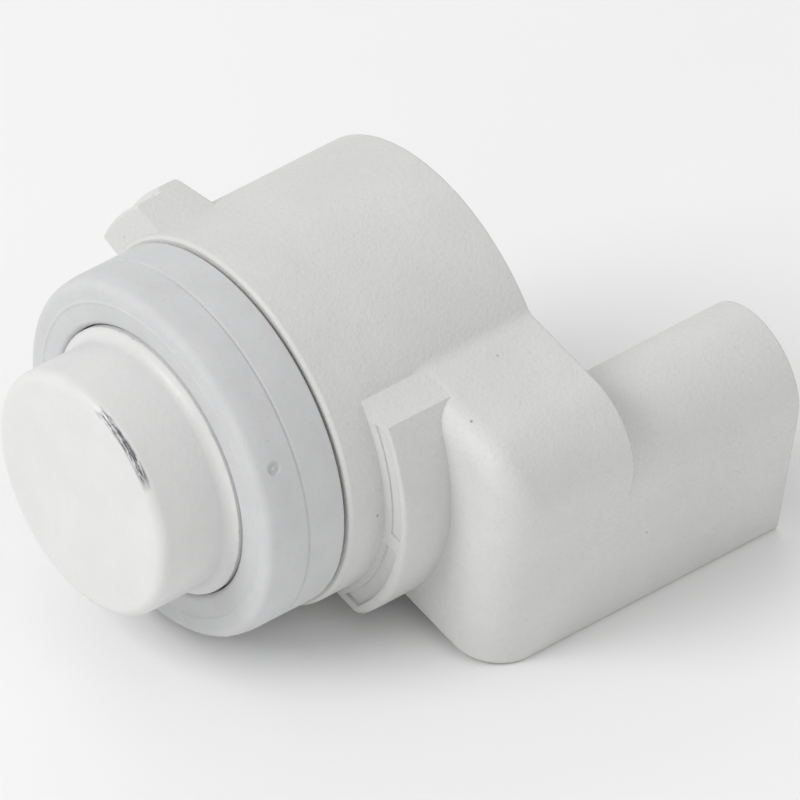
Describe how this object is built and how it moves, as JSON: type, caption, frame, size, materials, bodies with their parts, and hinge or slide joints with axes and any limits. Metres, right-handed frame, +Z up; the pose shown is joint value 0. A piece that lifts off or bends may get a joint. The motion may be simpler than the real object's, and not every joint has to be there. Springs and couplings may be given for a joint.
{
  "type": "ultrasonic parking sensor",
  "caption": "Vehicle ultrasonic parking sensor: round membrane head in a soft ring on a short barrel, with side lugs and a rearward plug socket on an arm.",
  "frame": {"origin": "centre of the membrane's outer face, on the sensing axis", "axes": "+Y along the sensing axis from the membrane to the plug socket, +X towards the arm with the socket, +Z up as the sensor lies on a level surface on its barrel and the arm's lower edge"},
  "size_m": [0.033, 0.0382, 0.0234],
  "materials": {
    "housing_plastic": "fine spark-eroded moulding texture",
    "cover_plastic": "smooth moulded, satin",
    "ring_silicone": "soft matt silicone",
    "cup_paint": "primed aluminium, satin",
    "piezo_ceramic": "fired ceramic with a silver electrode",
    "foam": "open silicone foam",
    "sleeve_silicone": "soft matt silicone",
    "carrier_plastic": "moulded",
    "lead_red": "lead insulation",
    "lead_black": "lead insulation",
    "tinned_pin": "tinned bronze",
    "board_laminate": "solder mask",
    "chip_epoxy": "moulded epoxy",
    "ferrite": "sintered ferrite",
    "copper_wire": "enamelled copper",
    "capacitor_body": "moulded epoxy",
    "capacitor_ceramic": "ceramic with tinned ends",
    "solder": "solder",
    "potting": "soft cast filling"
  },
  "bodies": {
    "sensor_body": {"housing": "housing_plastic", "rear_cover": "cover_plastic", "transducer_sleeve": "sleeve_silicone", "contact_carrier": "carrier_plastic", "transducer_pin_signal": "tinned_pin", "transducer_pin_ground": "tinned_pin", "circuit_board": "board_laminate", "control_chip": "chip_epoxy", "transformer_core": "ferrite", "transformer_winding": "copper_wire", "buffer_capacitor": "capacitor_body", "ceramic_capacitors": "capacitor_ceramic", "resistors": "chip_epoxy", "solder_joints": "solder", "terminal_pin_ground": "tinned_pin", "terminal_pin_data": "tinned_pin", "terminal_pin_supply": "tinned_pin", "potting_compound": "potting"},
    "transducer": {"membrane_cup": "cup_paint", "piezo_disc": "piezo_ceramic", "damping_foam": "foam", "piezo_lead_signal": "lead_red", "piezo_lead_ground": "lead_black"},
    "soft_ring": {"decoupling_ring": "ring_silicone"}
  },
  "joints": [
    {"name": "transducer_press", "type": "slide", "parent": "sensor_body", "child": "transducer", "axis": [0, 1, 0], "range_m": [0, 0.0003], "stiffness_N_per_m": 1500},
    {"name": "ring_pull_off", "type": "slide", "parent": "sensor_body", "child": "soft_ring", "axis": [0, -1, 0], "range_m": [0, 0.012]}
  ]
}
